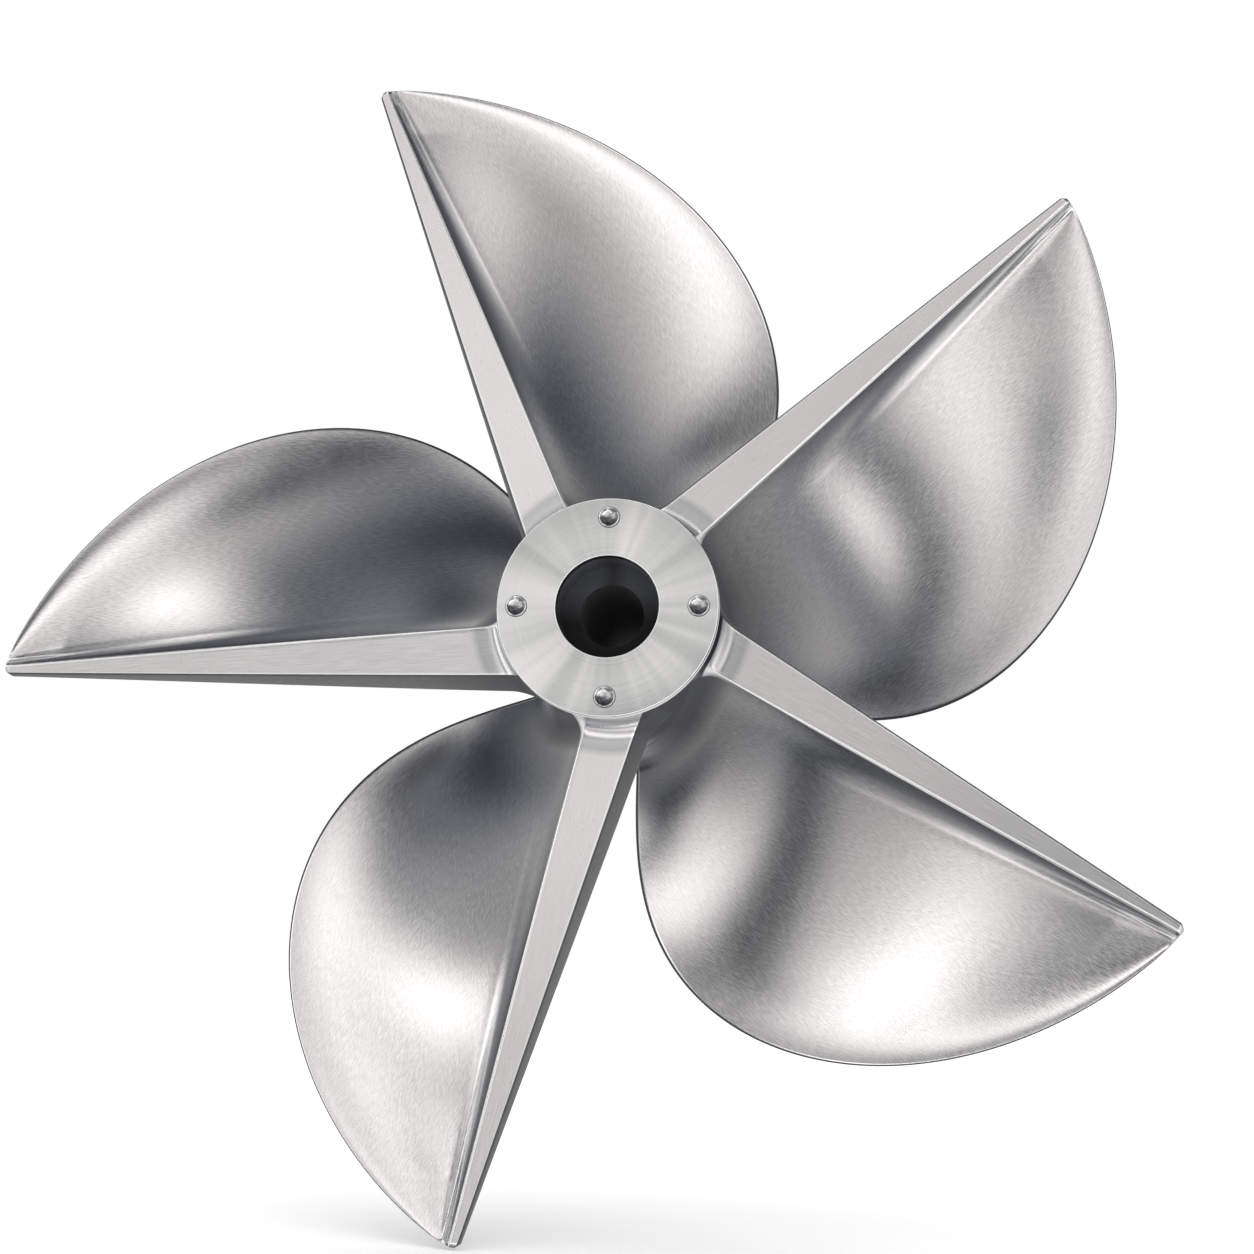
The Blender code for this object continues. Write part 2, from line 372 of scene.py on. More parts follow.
# Driving face at a share of the way from the land to the leading edge.
#
# Helix, plus a parabola of camber, a cup that drops away beside the land as
# 1 - exp(-run squared), a groove and a soft crest that follow the land as
# exp(-distance squared), and the ground bevel at the rim, which is straight.
def faceCurve(radius, share, sweep):
    slope, _, depth = helixAt(radius, sweep)
    angle = share * sweep
    run = radius * angle
    cup = blade["cupDepth"] * np.minimum(1.0, sweep / blade["cupSweep"])
    scoop = cup * (1.0 - np.exp(-((run / blade["cupLength"]) ** 2))) * (1.0 - share) ** 2
    low, high = blade["ridgeRange"]
    outward = np.clip((radius / blade["tipRadius"] - low) / (high - low), 0.0, 1.0)
    fade = outward ** 2 * (3.0 - 2.0 * outward)
    fade = fade * np.minimum(1.0, radius * sweep / blade["ridgeReach"])
    crest = crestAt(radius)
    ridgeWidth = blade["ridgeShare"] * crest + blade["ridgeLeast"]
    ridge = blade["ridgeHeight"] * np.exp(-(((run - crest) / ridgeWidth) ** 2))
    fromGroove = (run - blade["groovePlace"] * crest) / (blade["grooveWidth"] * crest)
    groove = blade["grooveDepth"] * np.exp(-(fromGroove ** 2))
    left = radius * sweep * (1.0 - share)
    rim = blade["rimDrop"] * np.clip(1.0 - left / blade["rimWidth"], 0.0, 1.0)
    y = slope * angle + 4.0 * depth * share * (1.0 - share) + scoop
    y = y + fade * (groove - ridge) + rim
    return angle, y


# Suction face: the cambered helix plus a wedge, which is thickest over the bevel and
# thins as (1 - share) * (1 + bulge * share) to the leading edge.
def backCurve(radius, share, sweep, width):
    slope, lean, depth = helixAt(radius, sweep)
    sine = np.minimum((1.0 + blade["bevelSide"]) * width / radius, blade["bevelMost"])
    cornerAngle = -np.arcsin(sine)
    cornerY = (blade["landSlope"] + blade["bevelDepth"]) * width
    angle = cornerAngle + (sweep - cornerAngle) * share
    thick = (cornerY - slope * cornerAngle) * (1.0 - share) * (1.0 + blade["wedgeBulge"] * share)
    thick = thick + blade["edgeThickness"] / lean
    inner = np.clip(angle / sweep, 0.0, 1.0)
    y = slope * angle + 4.0 * depth * inner * (1.0 - inner) + thick
    return angle, y


# Quadratic curve from before to after with the corner as its control point.
def cornerCurve(before, corner, after, steps):
    t = np.linspace(0.0, 1.0, steps + 2)[None, 1:-1]
    return [(1 - t) ** 2 * b + 2 * t * (1 - t) * c + t ** 2 * a
            for b, c, a in zip(before, corner, after)]


# Point at a distance from a on the straight line to b, never past four tenths of it.
def toward(a, b, distance):
    run = b[0] - a[0]
    rise = b[1] - a[1]
    size = np.sqrt(run ** 2 + rise ** 2) + 1e-9
    part = np.minimum(distance / size, 0.4)
    return a[0] + run * part, a[1] + rise * part


# Half an oval round the leading edge, from the driving face's end to the back's start:
# middle + half gap * cos(turn) + nose * sin(turn) ahead.
def noseCurve(last, first, nose):
    turn = np.linspace(0.0, 1.0, blade["nosePoints"] + 2)[None, 1:-1] * math.pi
    midRun, midY = 0.5 * (last[0] + first[0]), 0.5 * (last[1] + first[1])
    halfRun, halfY = last[0] - midRun, last[1] - midY
    half = np.sqrt(halfRun ** 2 + halfY ** 2) + 1e-9
    aheadRun, aheadY = -halfY / half, halfRun / half
    run = midRun + halfRun * np.cos(turn) + aheadRun * nose * np.sin(turn)
    y = midY + halfY * np.cos(turn) + aheadY * nose * np.sin(turn)
    return run, y


# One point of every row of a (run, y) pair.
def pick(pair, index):
    return [side[:, [index]] for side in pair]


# All sections at once, as (run, y) arrays with one row for each station.
#
# run is the arc length from the land's pressure edge, positive towards the
# leading edge. Each row goes along the driving face, round the leading edge,
# back along the suction face, down the bevel and across the land.
def sectionPoints(radius):
    sweep = sweepAt(radius)
    width = landWidthAt(radius)
    reach = radius * sweep
    tight = np.minimum(blade["cornerRound"], blade["cornerShare"] * reach)
    noseSize = 0.5 * blade["edgeThickness"]

    start = tight / reach
    stop = 1.0 - np.minimum(noseSize / reach, blade["noseShare"])
    t = np.linspace(0.0, 1.0, blade["facePoints"])[None, :]
    even = blade["faceEven"]
    eased = even * t + (1.0 - even) * (0.5 - 0.5 * np.cos(math.pi * t))
    angle, y = faceCurve(radius, start + (stop - start) * eased, sweep)
    face = (radius * angle, y)

    t = np.linspace(1.0, 0.0, blade["backPoints"])[None, :]
    eased = 0.5 - 0.5 * np.cos(math.pi * t)
    share = eased * (stop - blade["backStart"]) + blade["backStart"]
    angle, y = backCurve(radius, share, sweep, width)
    back = (radius * angle, y)
    nose = noseCurve(pick(face, -1), pick(back, 0), noseSize)

    zero = np.zeros_like(radius)
    edge = (zero, zero)
    landCorner = (-radius * np.arcsin(width / radius), blade["landSlope"] * width)
    angle, y = backCurve(radius, zero, sweep, width)
    bevelCorner = (radius * angle, y)
    steps = blade["cornerPoints"]
    bevelOut = toward(bevelCorner, landCorner, tight * blade["bevelRound"])
    bevelBend = cornerCurve(pick(back, -1), bevelCorner, bevelOut, steps)
    landIn = toward(landCorner, bevelCorner, tight)
    landOut = toward(landCorner, edge, tight)
    landBend = cornerCurve(landIn, landCorner, landOut, steps)
    edgeIn = toward(edge, landCorner, tight)
    edgeBend = cornerCurve(edgeIn, edge, pick(face, 0), steps)
    close = blade["landEdge"]
    t = np.append([0.0, close], np.linspace(2.0 * close, 1.0, blade["landPoints"] - 2))[None, :]
    land = [a + (b - a) * t for a, b in zip(landOut, edgeIn)]

    parts = [face, nose, back, bevelBend, bevelOut, landIn, landBend, land, edgeBend]
    zones = np.concatenate([np.full(run.shape[1], i) for i, (run, y) in enumerate(parts)])
    run, y = (np.concatenate(side, axis=1) for side in zip(*parts))
    return run, y, zones


# Height of a quarter circle of the fillet's radius above the hub:
# size - sqrt(size squared - (size - rise) squared).
def filletGrowth(radius):
    size = blade["rootFillet"]
    rise = np.clip(radius - hub["radius"], blade["filletFoot"] * size, size)
    return size - np.sqrt(size ** 2 - (size - rise) ** 2)


# What the material needs to know of each point of the skin, from 0 to 1 except for the
# two distances: band is run / crest distance, left is reach - run.
def bladeMarks(radius, run, zones):
    everyRow = np.zeros_like(run)
    flat = zones == zone["land"]
    bends = (zones == zone["landCorner"]) | (zones == zone["edge"])
    # painted highlight along the land's two long edges, kept as the corner mark
    paintedHighlight = np.zeros(zones.shape)
    paintedHighlight[np.flatnonzero(flat)[:2]] = edgeHighlight["far"]
    paintedHighlight[zones == zone["edge"]] = np.linspace(edgeHighlight["near"], 0.0, blade["cornerPoints"])
    reach = radius * sweepAt(radius)
    farAway = 4.0
    return {
        "land": flat + 0.5 * bends + everyRow,
        "corner": np.minimum(paintedHighlight, 1.0) + everyRow,
        "under": np.choose(zones, underTones) + everyRow,
        "band": np.where(zones == zone["face"], run / crestAt(radius), farAway),
        "left": np.maximum(reach - run, 0.0) * (zones != zone["nose"]),
    }


# Points of one blade pointing along +X, with its UV map and marks.
#
# A section point (run, y) at a radius sits at the angle run / radius below +X:
# x = radius * cos(angle), z = -radius * sin(angle). The root fillet moves it along
# its normal, and the tip's quarter circle draws each section in to its middle.
def bladeSkin():
    radius = stationRadii()
    run, y, zones = sectionPoints(radius)
    marks = bladeMarks(radius, run, zones)
    alongRun = np.roll(run, -1, axis=1) - np.roll(run, 1, axis=1)
    alongY = np.roll(y, -1, axis=1) - np.roll(y, 1, axis=1)
    size = np.sqrt(alongRun ** 2 + alongY ** 2) + 1e-12
    growth = filletGrowth(radius)
    run = run + growth * alongY / size
    y = y - growth * alongRun / size

    tipShare = (radius - blade["tipRadius"] + blade["tipRound"]) / blade["tipRound"]
    shrink = np.sqrt(1.0 - np.clip(tipShare, 0.0, 1.0) ** 2)
    run = run.mean(axis=1, keepdims=True) * (1 - shrink) + run * shrink
    y = y.mean(axis=1, keepdims=True) * (1 - shrink) + y * shrink
    y = y + landHeightAt(radius)
    underPlate = -hub["length"] + plate["thickness"] + plate["bladeGap"]
    y = np.where(radius < plate["radius"] + plate["bladeGap"], np.maximum(y, underPlate), y)

    angle = run / radius
    points = np.stack([radius * np.cos(angle), y, -radius * np.sin(angle)], axis=-1)
    uv = np.stack([run, radius + 0.0 * run], axis=-1)
    return points, uv, marks


# The same skin five times, each turned on round the shaft by a fifth of a circle.
def makeBlades(material):
    points, uv, marks = bladeSkin()
    faces = cappedFaces(*points.shape[:2])
    skin = np.vstack([points.reshape(-1, 3), points[0].mean(axis=0), points[-1].mean(axis=0)])
    flatUv = np.vstack([uv.reshape(-1, 2), uv[0].mean(axis=0), uv[-1].mean(axis=0)])
    flatMarks = {label: np.append(values.ravel(), [values[0].mean(), values[-1].mean()])
                 for label, values in marks.items()}
    for i in range(blade["count"]):
        turn = math.radians(blade["firstAngle"] - 360.0 * i / blade["count"])
        x = skin[:, 0] * math.cos(turn) - skin[:, 2] * math.sin(turn)
        z = skin[:, 0] * math.sin(turn) + skin[:, 2] * math.cos(turn)
        vertices = np.column_stack([x, skin[:, 1], z])
        shifted = flatUv + np.array([blade["skinShift"] * i, 0.0])
        piece = makePiece(f"blade{i + 1}", f"blade_{i + 1}",
                          vertices, faces, material, shifted, flatMarks)
        piece.visible_glossy = False    # the blades mirror the studio, not each other
    print("blades:", len(faces), "faces each")


# A socket with arithmetic: an expression on values adds its Math nodes.
class Value:

    def __init__(self, tree, socket):
        self.tree = tree
        self.socket = socket

    def math(self, operation, *others):
        return addNode(self.tree, "ShaderNodeMath", {"operation": operation}, [self, *others])

    def __add__(self, other):
        return self.math("ADD", other)

    def __mul__(self, other):
        return self.math("MULTIPLY", other)

    def __sub__(self, other):
        return self.math("SUBTRACT", other)

    def __rsub__(self, other):
        return addNode(self.tree, "ShaderNodeMath", {"operation": "SUBTRACT"}, [other, self])

    def __truediv__(self, other):
        return self.math("DIVIDE", other)

    def __pow__(self, other):
        return self.math("POWER", other)

    __radd__ = __add__
    __rmul__ = __mul__


# Any node: settings first, then the values or links of its sockets.
def addNode(tree, kind, settings=None, inputs=None, output=0):
    node = tree.nodes.new(kind)
    for key, value in (settings or {}).items():
        setattr(node, key, value)
    pairs = inputs.items() if isinstance(inputs, dict) else enumerate(inputs or [])
    for key, value in pairs:
        if isinstance(value, Value):
            tree.links.new(value.socket, node.inputs[key])
        else:
            node.inputs[key].default_value = value
    return Value(tree, node.outputs[output])


# A material whose shader has these constants on its own sockets.
def newMaterial(name, constants):
    material = bpy.data.materials.new(name)
    material.use_nodes = True
    tree = material.node_tree
    shader = tree.nodes["Principled BSDF"]
    for key, value in constants.items():
        shader.inputs[key].default_value = value
    return material, tree, shader


def connect(tree, value, shader, key):
    tree.links.new(value.socket, shader.inputs[key])


# Object coordinates and their three numbers.
def splitPlace(tree):
    place = addNode(tree, "ShaderNodeTexCoord", output="Object")
    parts = [addNode(tree, "ShaderNodeSeparateXYZ", None, [place], axis) for axis in range(3)]
    return place, parts


# Smooth noise of about this many bumps to the unit.
def noise(tree, vector, scale, detail=2.0, roughness=0.5):
    return addNode(tree, "ShaderNodeTexNoise", None,
                   {"Vector": vector, "Scale": scale, "Detail": detail, "Roughness": roughness})


# A vector scaled along each axis, then turned.
def stretched(tree, vector, scale, turn=(0.0, 0.0, 0.0)):
    return addNode(tree, "ShaderNodeMapping", None,
                   {"Vector": vector, "Rotation": turn, "Scale": scale})


# Value from 0 at low to 1 at high, held in between.
def ramp(value, low, high):
    return addNode(value.tree, "ShaderNodeMapRange", {"clamp": True},
                   {"Value": value, "From Min": low, "From Max": high})


# Value squeezed into the range from least to 1.
def atLeast(least, value):
    return least + (1 - least) * value


# first * (1 - factor) + second * factor, with the factor held from 0 to 1.
def mixColor(tree, factor, first, second):
    node = tree.nodes.new("ShaderNodeMix")
    node.data_type = "RGBA"
    for index, value in ((0, factor), (6, first), (7, second)):
        if isinstance(value, Value):
            tree.links.new(value.socket, node.inputs[index])
        else:
            node.inputs[index].default_value = (*value, 1.0)
    return Value(tree, node.outputs[2])


# Tones laid over a colour one after another, each by its own amount.
def layered(tree, color, *layers):
    for amount, tone in layers:
        color = mixColor(tree, amount, color, tone)
    return color


def vectorMath(tree, operation, inputs, output=0):
    return addNode(tree, "ShaderNodeVectorMath", {"operation": operation}, inputs, output)


# Sum of two vectors, brought back to length 1.
def addNormal(tree, first, second):
    return vectorMath(tree, "NORMALIZE", [vectorMath(tree, "ADD", [first, second])])


satin = {
    "bright": (0.738, 0.718, 0.714),
    "dull": (0.487, 0.475, 0.478),
    # painted shade beside the land and past a land's foot; also the tone of the specks
    "groove": (0.30, 0.305, 0.325),
    # painted shade in the groove beside the land
    "deep": (0.08, 0.085, 0.10),
    "land": (0.78, 0.765, 0.76),
    "landDull": (0.70, 0.687, 0.683),
    # painted highlight: crest, land edges, a land's foot and the line inside the cut edge
    "edge": (0.95, 0.95, 0.95),
    "cut": (0.06, 0.063, 0.07),  # dark cut edge and bevel, and the painted shadow at the seam
    "root": (0.035, 0.037, 0.045),  # painted shade towards the hub, aft
    "rootShadeForward": (0.16, 0.163, 0.175),
    "cutWidth": 0.0024,  # ground bevel at the leading edge, and the painted highlight line inside it
    "edgeWidth": 0.0010,
    "seamShadowWidth": 0.0014,  # painted shadow where a blade meets the face plate
    "roughness": 0.19,
    "roughVaries": 0.10,  # with the strokes, the clouds and the groove
    "landRoughness": 0.24,
    "landVaries": 0.16,
    "crestPolish": 0.08,
    "cutRough": 0.2,
    "matteRough": 0.6,
    "strokeWidth": 0.00048,
    "strokeLength": 0.0055,
    "strokeTurn": 14.0,
    "strokeWander": 0.02,
    "driftScale": 14.0,  # how finely the strokes wander
    "strokeShare": 0.85,  # of the tone, the rest is clouds
    "strokeDepth": 0.00003,
    "toneRange": (0.34, 0.66),
    "crossTurn": -30.0,  # patches brushed the other way
    "crossWander": 0.03,
    "crossScale": 17.0,
    "crossRange": (0.52, 0.68),
    "cloudScale": 11.0,
    "speckScale": 650.0,
    "speckRange": (0.70, 0.86),
    "grainWidth": 0.0004,  # lengthwise grain of the ground land
    "grainLength": 0.0250,
    "grainShare": 0.7,
    "grainRange": (0.35, 0.65),
    "grainDepth": 0.15,
    "outerRange": (0.13, 0.24),  # radii where the marks beside the land begin
    "grooveRange": (0.06, 0.50),  # these four in distances of the crest from the land
    "shadeRange": (0.70, 0.96),
    "crestRise": (0.90, 1.02),
    "crestFall": (1.04, 1.16),
    "grooveInner": 0.35,  # what is left of the groove near the hub
    "rootStart": 0.080,  # radii where the painted root shade is full and where it ends
    "rootEnd": 0.150,
    "rootFall": 1.4,
    "matteEnd": 0.098,  # inside this radius the aft skin is matte, not bare metal, and darkened by the painted root shade
    "aftRange": (-0.140, -0.060),  # along the shaft
    "lowRange": (0.55, 0.85),  # the seam's painted shadow fades on the underside
    "lowMix": 0.8,
    "filletLight": 0.0794,  # radii where the painted highlight at the foot of a land ends, and the band of painted shade beyond it
    "filletDark": 0.0990,  # and the dull band beyond it
    "footWidth": 0.0015,  # over which each of the two fades
    "filletSoft": 0.0050,
    "filletLeast": 0.4,  # share of the painted shade band at its inner end
    "shadeMix": 0.55,  # how much of each tone is mixed in
    "rootMix": 0.95,
    "grooveShadeMix": 0.85,
    "crestHighlightMix": 0.45,
    "filletShadeMix": 0.52,
    "footHighlightMix": 0.70,
    "speckMix": 0.20,
    "highlightMix": 0.80,
    "underMix": 0.95,
    "underMatte": 0.75,
}


# Fine strokes that wander a little, on the blade's own map of metres across and along it:
# noise of ((map + wander * drift) / (width, length)), turned.
def strokes(tree, skin, width, length, turn, wander):
    drift = noise(tree, skin, satin["driftScale"], 1.0)
    bent = vectorMath(tree, "ADD", [skin, drift * wander])
    fine = stretched(tree, bent, (1.0 / width, 1.0 / length, 1.0), (0.0, 0.0, math.radians(turn)))
    return noise(tree, fine, 1.0, 2.0, 0.6)


# How far a point lies round towards the bottom: -z / radius from low to high.
def underside(z, radius, low, high):
    return ramp((0 - z) / radius, low, high)


# Colour of the flat land: grain and clouds from dull to bright, with a painted highlight at
# its foot, and beyond it a band of painted shade that deepens outwards.
def landColor(tree, radius, grain, clouds):
    share = satin["grainShare"]
    tone = ramp(grain * share + clouds * (1 - share), *satin["grainRange"])
    color = mixColor(tree, tone, satin["landDull"], satin["land"])
    # painted highlight at the foot of the land
    foot = ramp(radius, satin["filletLight"], satin["filletLight"] + satin["footWidth"])
    # band of painted shade beyond the foot, deeper outwards
    dark = satin["filletDark"] - satin["filletSoft"]
    deeper = atLeast(satin["filletLeast"], ramp(radius, satin["filletLight"], dark))
    fillet = foot * deeper * (1 - ramp(radius, dark, satin["filletDark"]))
    return layered(tree, color, (fillet * satin["filletShadeMix"], satin["groove"]),
                   ((1 - foot) * satin["footHighlightMix"], satin["edge"]))


# Satin skin brushed by hand, bright on the land, with painted shade beside the land
# and a painted highlight along the crest.
#
# The colour runs from dull to bright with the strokes. Then each mark is mixed over it in
# turn: painted shade beside the land, painted shade towards the hub, painted shade in the
# groove, a painted highlight on the crest, the land, specks, painted highlights on the
# edges, and dark cut edges with the painted shadow at the seam. Lines along an edge fade
# over the last part of their width.
# Roughness is the satin's, plus what strokes, clouds and groove add, less the crest's
# polish, plus the cut edge's and the matte skin's. Metallic is 1 less the matte skin.
def bladeSteel():
    material, tree, shader = newMaterial("satinBlade", {"Metallic": 1.0})
    skin = addNode(tree, "ShaderNodeUVMap", {"uv_map": "skin"})
    place, (x, y, z) = splitPlace(tree)
    land, corner, under, band, left = (
        addNode(tree, "ShaderNodeAttribute", {"attribute_name": label}, output="Fac")
        for label in ("land", "corner", "under", "band", "left"))

    width, length = satin["strokeWidth"], satin["strokeLength"]
    brushed = strokes(tree, skin, width, length, satin["strokeTurn"], satin["strokeWander"])
    crossed = strokes(tree, skin, width, length, satin["crossTurn"], satin["crossWander"])
    clouds = noise(tree, place, satin["cloudScale"])
    pickCross = ramp(noise(tree, place, satin["crossScale"], 0.0), *satin["crossRange"])
    worked = brushed * (1 - pickCross) + crossed * pickCross
    grain = strokes(tree, skin, satin["grainWidth"], satin["grainLength"], 0.0, 0.0)
    specks = ramp(noise(tree, place, satin["speckScale"], 0.0), *satin["speckRange"])

    radius = (x * x + z * z) ** 0.5
    outer = ramp(radius, *satin["outerRange"])
    # painted shade beside the land, and painted shade in its groove
    shade = (1 - ramp(band, *satin["shadeRange"])) * outer
    groove = 1 - ramp(band, *satin["grooveRange"])
    groove = groove * atLeast(satin["grooveInner"], outer)
    # painted highlight along the crest of the cup
    crest = ramp(band, *satin["crestRise"]) * (1 - ramp(band, *satin["crestFall"])) * outer
    # painted shade towards the hub, darkest aft
    root = (1 - ramp(radius, satin["rootStart"], satin["rootEnd"])) ** satin["rootFall"]
    cutEdge, line = satin["cutWidth"], satin["edgeWidth"]
    cut = 1 - ramp(left, 0.7 * cutEdge, cutEdge)
    # painted highlight line just inside the cut edge
    paintedHighlight = 1 - ramp(left, cutEdge + 0.5 * line, cutEdge + line)
    paintedHighlight = ramp(left, cutEdge, 1.2 * cutEdge) * paintedHighlight
    rim, gap = plate["radius"], satin["seamShadowWidth"]
    # painted shadow under the plate's rim, fainter on the underside
    seam = 1 - ramp(radius, rim + 0.4 * gap, rim + gap)
    seam = seam * (1 - satin["lowMix"] * underside(z, radius, *satin["lowRange"]))

    aft = 1 - ramp(y, *satin["aftRange"])
    matte = (1 - ramp(radius, satin["rootStart"], satin["matteEnd"])) * aft * (1 - land)
    matte = matte.math("MAXIMUM", under * satin["underMatte"])
    connect(tree, 1 - matte, shader, "Metallic")

    vary = satin["roughVaries"]
    rough = satin["roughness"] + vary * (worked - 0.5) + vary * (clouds - 0.5) + vary * groove
    landRough = satin["landRoughness"] + satin["landVaries"] * (grain - 0.5)
    rough = rough * (1 - land) + landRough * land - satin["crestPolish"] * crest
    rough = rough + satin["cutRough"] * cut + satin["matteRough"] * matte
    connect(tree, rough, shader, "Roughness")

    share = satin["strokeShare"]
    tone = ramp(worked * share + clouds * (1 - share), *satin["toneRange"])
    color = mixColor(tree, tone, satin["dull"], satin["bright"])
    color = layered(
        tree, color,
        (shade * satin["shadeMix"], satin["groove"]),
        (root * satin["rootMix"], mixColor(tree, aft, satin["rootShadeForward"], satin["root"])),
        (groove * satin["grooveShadeMix"], satin["deep"]),
        (crest * satin["crestHighlightMix"], satin["edge"]),
        (land, landColor(tree, radius, grain, clouds)),
        (specks * satin["speckMix"], satin["groove"]),
        (corner + paintedHighlight * satin["highlightMix"], satin["edge"]),
        # dark cut edge and bevel, and the painted shadow at the seam
        (cut + under * satin["underMix"] + seam, satin["cut"]))
    connect(tree, color, shader, "Base Color")

    height = worked * (1 - land) * (1 - groove * 0.5) + grain * land * satin["grainDepth"]
    bump = addNode(tree, "ShaderNodeBump", None,
                   {"Strength": 1.0, "Distance": satin["strokeDepth"], "Height": height})
    connect(tree, bump, shader, "Normal")
    return material


turned = {
    "bright": (0.84, 0.835, 0.83),
    "dull": (0.56, 0.56, 0.56),
    "edge": (0.96, 0.96, 0.96),
    "side": (0.16, 0.165, 0.18),  # painted shade on the rim's side, and round each screw's seat
    "underside": (0.66, 0.66, 0.66),  # painted reflection on the rim's side where it faces down
    "undersideRange": (0.45, 0.85),
    "edgeWidth": 0.0012,
    "rimHighlightMix": 0.8,
    "sideLine": (0.0005, 0.0003),  # inside the rim
    "seatLine": (0.0003, 0.0008),  # outside a screw's head
    "roughness": 0.19,
    "ringVaries": 0.12,
    "coarseVaries": 0.05,
    "ringPitch": 0.00060,
    "ringTilt": 0.60,  # how far each ring leans towards or away from the shaft
    "coarseRings": 300.0,
    "sectors": 2.6,  # painted fan highlights: their fineness and contrast
    "sectorRange": (0.35, 0.65),
    "ringTone": 0.6,
    "coarseTone": 0.2,
    "fanHighlightTone": 0.6,
    "toneRange": (0.35, 1.05),
}


# The radius as a vector, and the direction away from the shaft, (x, z) / radius.
def turnedAxes(tree, x, z, radius):
    across = addNode(tree, "ShaderNodeCombineXYZ", None, [radius, 0.0, 0.0])
    outwards = addNode(tree, "ShaderNodeCombineXYZ", None, [x / radius, 0.0, z / radius])
    return across, outwards


# Fine turned rings, each leaning in or out by (noise of radius - 0.5) * tilt, which
# fans the highlights out from the shaft.
def ringLean(tree, across, outwards):
    rings = noise(tree, across, 1.0 / turned["ringPitch"], 3.0, 0.7)
    tilt = (rings - 0.5) * turned["ringTilt"]
    return vectorMath(tree, "SCALE", {"Vector": outwards, "Scale": tilt}), rings


# Distance from the nearest screw: the larger of |x| and |z| less the circle, and the smaller.
def seatDistance(x, z):
    wide, narrow = x.math("ABSOLUTE"), z.math("ABSOLUTE")
    off = wide.math("MAXIMUM", narrow) - dome["circle"]
    beside = wide.math("MINIMUM", narrow)
    return (off * off + beside * beside) ** 0.5


# Faced plate with painted fan highlights, painted highlights at the rim and the hole, and painted
# shade on the rim's side and round each screw's seat.
#
# The colour runs from dull to bright with a sum of fine rings, coarse rings and painted fans,
# then come the painted highlight lines at rim and hole, the side's painted shade with a painted
# reflection where it faces down, and the painted shade at the seats of the screws.
def turnedSteel():
    material, tree, shader = newMaterial("turnedPlate", {"Metallic": 1.0})
    _, (x, y, z) = splitPlace(tree)
    radius = (x * x + z * z) ** 0.5
    across, outwards = turnedAxes(tree, x, z, radius)
    lean, rings = ringLean(tree, across, outwards)
    coarse = noise(tree, across, turned["coarseRings"], 1.0)
    # painted fan highlights round the shaft
    fanHighlight = noise(tree, outwards, turned["sectors"], 2.0, 0.6)
    fanHighlight = ramp(fanHighlight, *turned["sectorRange"])
    rough = turned["roughness"] + turned["ringVaries"] * (rings - 0.5)
    connect(tree, rough + turned["coarseVaries"] * (coarse - 0.5), shader, "Roughness")

    tone = rings * turned["ringTone"] + coarse * turned["coarseTone"]
    tone = tone + fanHighlight * turned["fanHighlightTone"]
    color = mixColor(tree, ramp(tone, *turned["toneRange"]), turned["dull"], turned["bright"])
    # painted highlight lines at the rim and at the hole
    width, rim, hole = turned["edgeWidth"], plate["radius"], hub["recessRadius"]
    line = ramp(radius, rim - width, rim - 0.7 * width)
    line = line + 1 - ramp(radius, hole + 0.7 * width, hole + width)
    # the rim's side: painted shade, with a painted reflection where it faces down
    face = plate["rimRound"] - hub["length"]
    side = ramp(y, face, face + 0.5 * plate["rimRound"])
    start, full = turned["sideLine"]
    side = side.math("MAXIMUM", ramp(radius, rim - start, rim - full))
    low = underside(z, radius, *turned["undersideRange"])
    # painted shade round each screw's seat
    start, full = turned["seatLine"]
    seatShade = 1 - ramp(seatDistance(x, z), dome["headRadius"] + start, dome["headRadius"] + full)
    color = layered(
        tree, color,
        (line * turned["rimHighlightMix"], turned["edge"]),
        (side, mixColor(tree, low, turned["side"], turned["underside"])),
        (seatShade, turned["side"]))
    connect(tree, color, shader, "Base Color")

    geometry = addNode(tree, "ShaderNodeNewGeometry", output="Normal")
    connect(tree, addNormal(tree, geometry, lean), shader, "Normal")
    return material


casting = {
    "bright": (0.46, 0.46, 0.47),
    "dull": (0.28, 0.285, 0.30),
    "shaded": (0.035, 0.037, 0.045),  # painted shade between the blade roots
    "shadedRange": (-0.130, -0.060),  # along the shaft
    "shadedMix": 0.95,
    "scale": 0.9,  # how much of it is matte, not bare metal
    "band": (0.70, 0.70, 0.70),  # painted light on the turned band under the face plate, where it faces down
    "bandEnd": (0.016, 0.026),  # from the plate's face
    "bandLow": (0.55, 0.85),
    "bandLeast": 0.4,
    "faceBright": (0.56, 0.555, 0.55),  # faced forward end
    "faceDull": (0.30, 0.30, 0.305),
    # painted shade in the bore, lighter above and to the sides, and on the step's face
    "boreLit": (0.075, 0.078, 0.088),
    "boreDark": (0.011, 0.011, 0.0113),
    "boreDeep": (0.060, 0.060, 0.062),
    "boreAbove": (0.012, 0.0, 0.024),  # ragged by, and the range of height and of
    "boreAside": (0.010, 0.004, 0.016),  # distance to the side over which it gets lighter
    "boreLeast": 0.25,
    "boreRim": (0.0002, 0.0005),  # outside the recess, where the bore's painted shade ends
    "boreEnd": (-0.0010, -0.0005),  # along the shaft
    "stepRise": (0.0005, 0.0015),  # beyond the step's face
    "faceStart": (-0.0006, -0.0003),
    "patchScale": 22.0,
    "turningShare": 0.5,  # of the tone outside, the rest is patches
    "ringShare": 0.7,  # and on the forward end
    "turning": (30.0, 1400.0, 30.0),
    "toneRange": (0.35, 0.65),
    "faceRange": (0.35, 0.70),
    "roughness": 0.20,
    "roughVaries": 0.10,
    "boreRough": 0.75,
    "scaleRough": 0.65,
    "grooveDepth": 0.00003,
}


